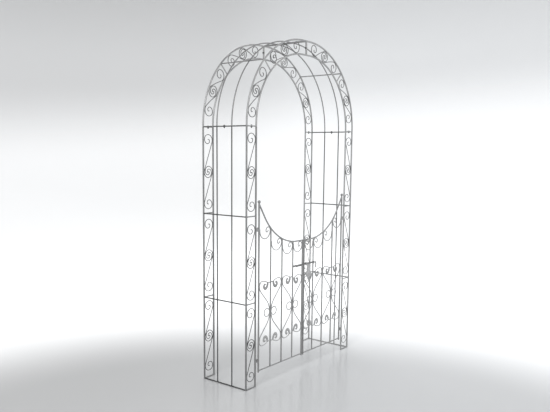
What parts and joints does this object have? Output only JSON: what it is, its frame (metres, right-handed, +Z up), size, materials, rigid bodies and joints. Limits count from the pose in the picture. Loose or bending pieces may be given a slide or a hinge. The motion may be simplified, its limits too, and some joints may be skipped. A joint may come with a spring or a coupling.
{
  "type": "garden arch with gate",
  "caption": "Garden arch of scrolled steel ladders and curved roof bars over a low double gate with a sweeping top rail, heart scrolls and a slide bolt.",
  "frame": {"origin": "on the ground, in the middle of the arch's width and depth", "axes": "+X to the right seen from the gate side, +Y from the gate side through the arch to the rear, +Z up"},
  "size_m": [1.262, 0.4012, 2.3105],
  "materials": {
    "frame": "satin silver-grey coating on round tube",
    "scroll": "satin silver-grey coating on bent wire",
    "gate": "satin silver-grey coating on round bar",
    "gate_scroll": "satin silver-grey coating on forged wire with flattened leaf ends",
    "fitting": "zinc-grey coated bolts, nuts, plates and slide bolt"
  },
  "bodies": {
    "arch": {"left_front_leg": "frame", "left_front_arch": "frame", "left_rear_leg": "frame", "left_rear_arch": "frame", "left_side_lattice": "frame", "left_roof_lattice": "frame", "right_front_leg": "frame", "right_front_arch": "frame", "right_rear_leg": "frame", "right_rear_arch": "frame", "right_side_lattice": "frame", "right_roof_lattice": "frame", "left_front_leg_scroll_1": "scroll", "left_front_leg_scroll_2": "scroll", "left_front_leg_scroll_3": "scroll", "left_front_arch_scroll_lower": "scroll", "left_front_arch_scroll_upper": "scroll", "left_rear_leg_scroll_1": "scroll", "left_rear_leg_scroll_2": "scroll", "left_rear_leg_scroll_3": "scroll", "left_rear_arch_scroll_lower": "scroll", "left_rear_arch_scroll_upper": "scroll", "right_front_leg_scroll_1": "scroll", "right_front_leg_scroll_2": "scroll", "right_front_leg_scroll_3": "scroll", "right_front_arch_scroll_lower": "scroll", "right_front_arch_scroll_upper": "scroll", "right_rear_leg_scroll_1": "scroll", "right_rear_leg_scroll_2": "scroll", "right_rear_leg_scroll_3": "scroll", "right_rear_arch_scroll_lower": "scroll", "right_rear_arch_scroll_upper": "scroll", "left_front_joint_bolt": "fitting", "left_rear_joint_bolt": "fitting", "left_side_joint_bolt": "fitting", "right_front_joint_bolt": "fitting", "right_rear_joint_bolt": "fitting", "right_side_joint_bolt": "fitting", "crown_front_bolt": "fitting", "crown_rear_bolt": "fitting", "crown_roof_bolt": "fitting"},
    "left_leaf": {"left_leaf_frame": "gate", "left_leaf_top_rail": "gate", "left_leaf_scroll_1": "gate_scroll", "left_leaf_scroll_2": "gate_scroll", "left_leaf_scroll_3": "gate_scroll", "left_leaf_scroll_4": "gate_scroll", "left_finial": "gate", "bolt_cradle": "fitting"},
    "right_leaf": {"right_leaf_frame": "gate", "right_leaf_top_rail": "gate", "right_leaf_scroll_1": "gate_scroll", "right_leaf_scroll_2": "gate_scroll", "right_leaf_scroll_3": "gate_scroll", "right_leaf_scroll_4": "gate_scroll", "right_finial": "gate", "bolt_back_plate": "fitting"},
    "bolt": {"slide_bolt": "fitting"}
  },
  "joints": [
    {"name": "left_leaf_hinge", "type": "hinge", "parent": "arch", "child": "left_leaf", "pos_m": [-0.5152, -0.17945, 0.178], "axis": [0, 0, 1], "range_deg": [0, 90]},
    {"name": "right_leaf_hinge", "type": "hinge", "parent": "arch", "child": "right_leaf", "pos_m": [0.5152, -0.17945, 0.178], "axis": [0, 0, 1], "range_deg": [0, 90]},
    {"name": "bolt_slide", "type": "slide", "parent": "right_leaf", "child": "bolt", "axis": [1, 0, 0], "range_m": [0, 0.135]}
  ]
}
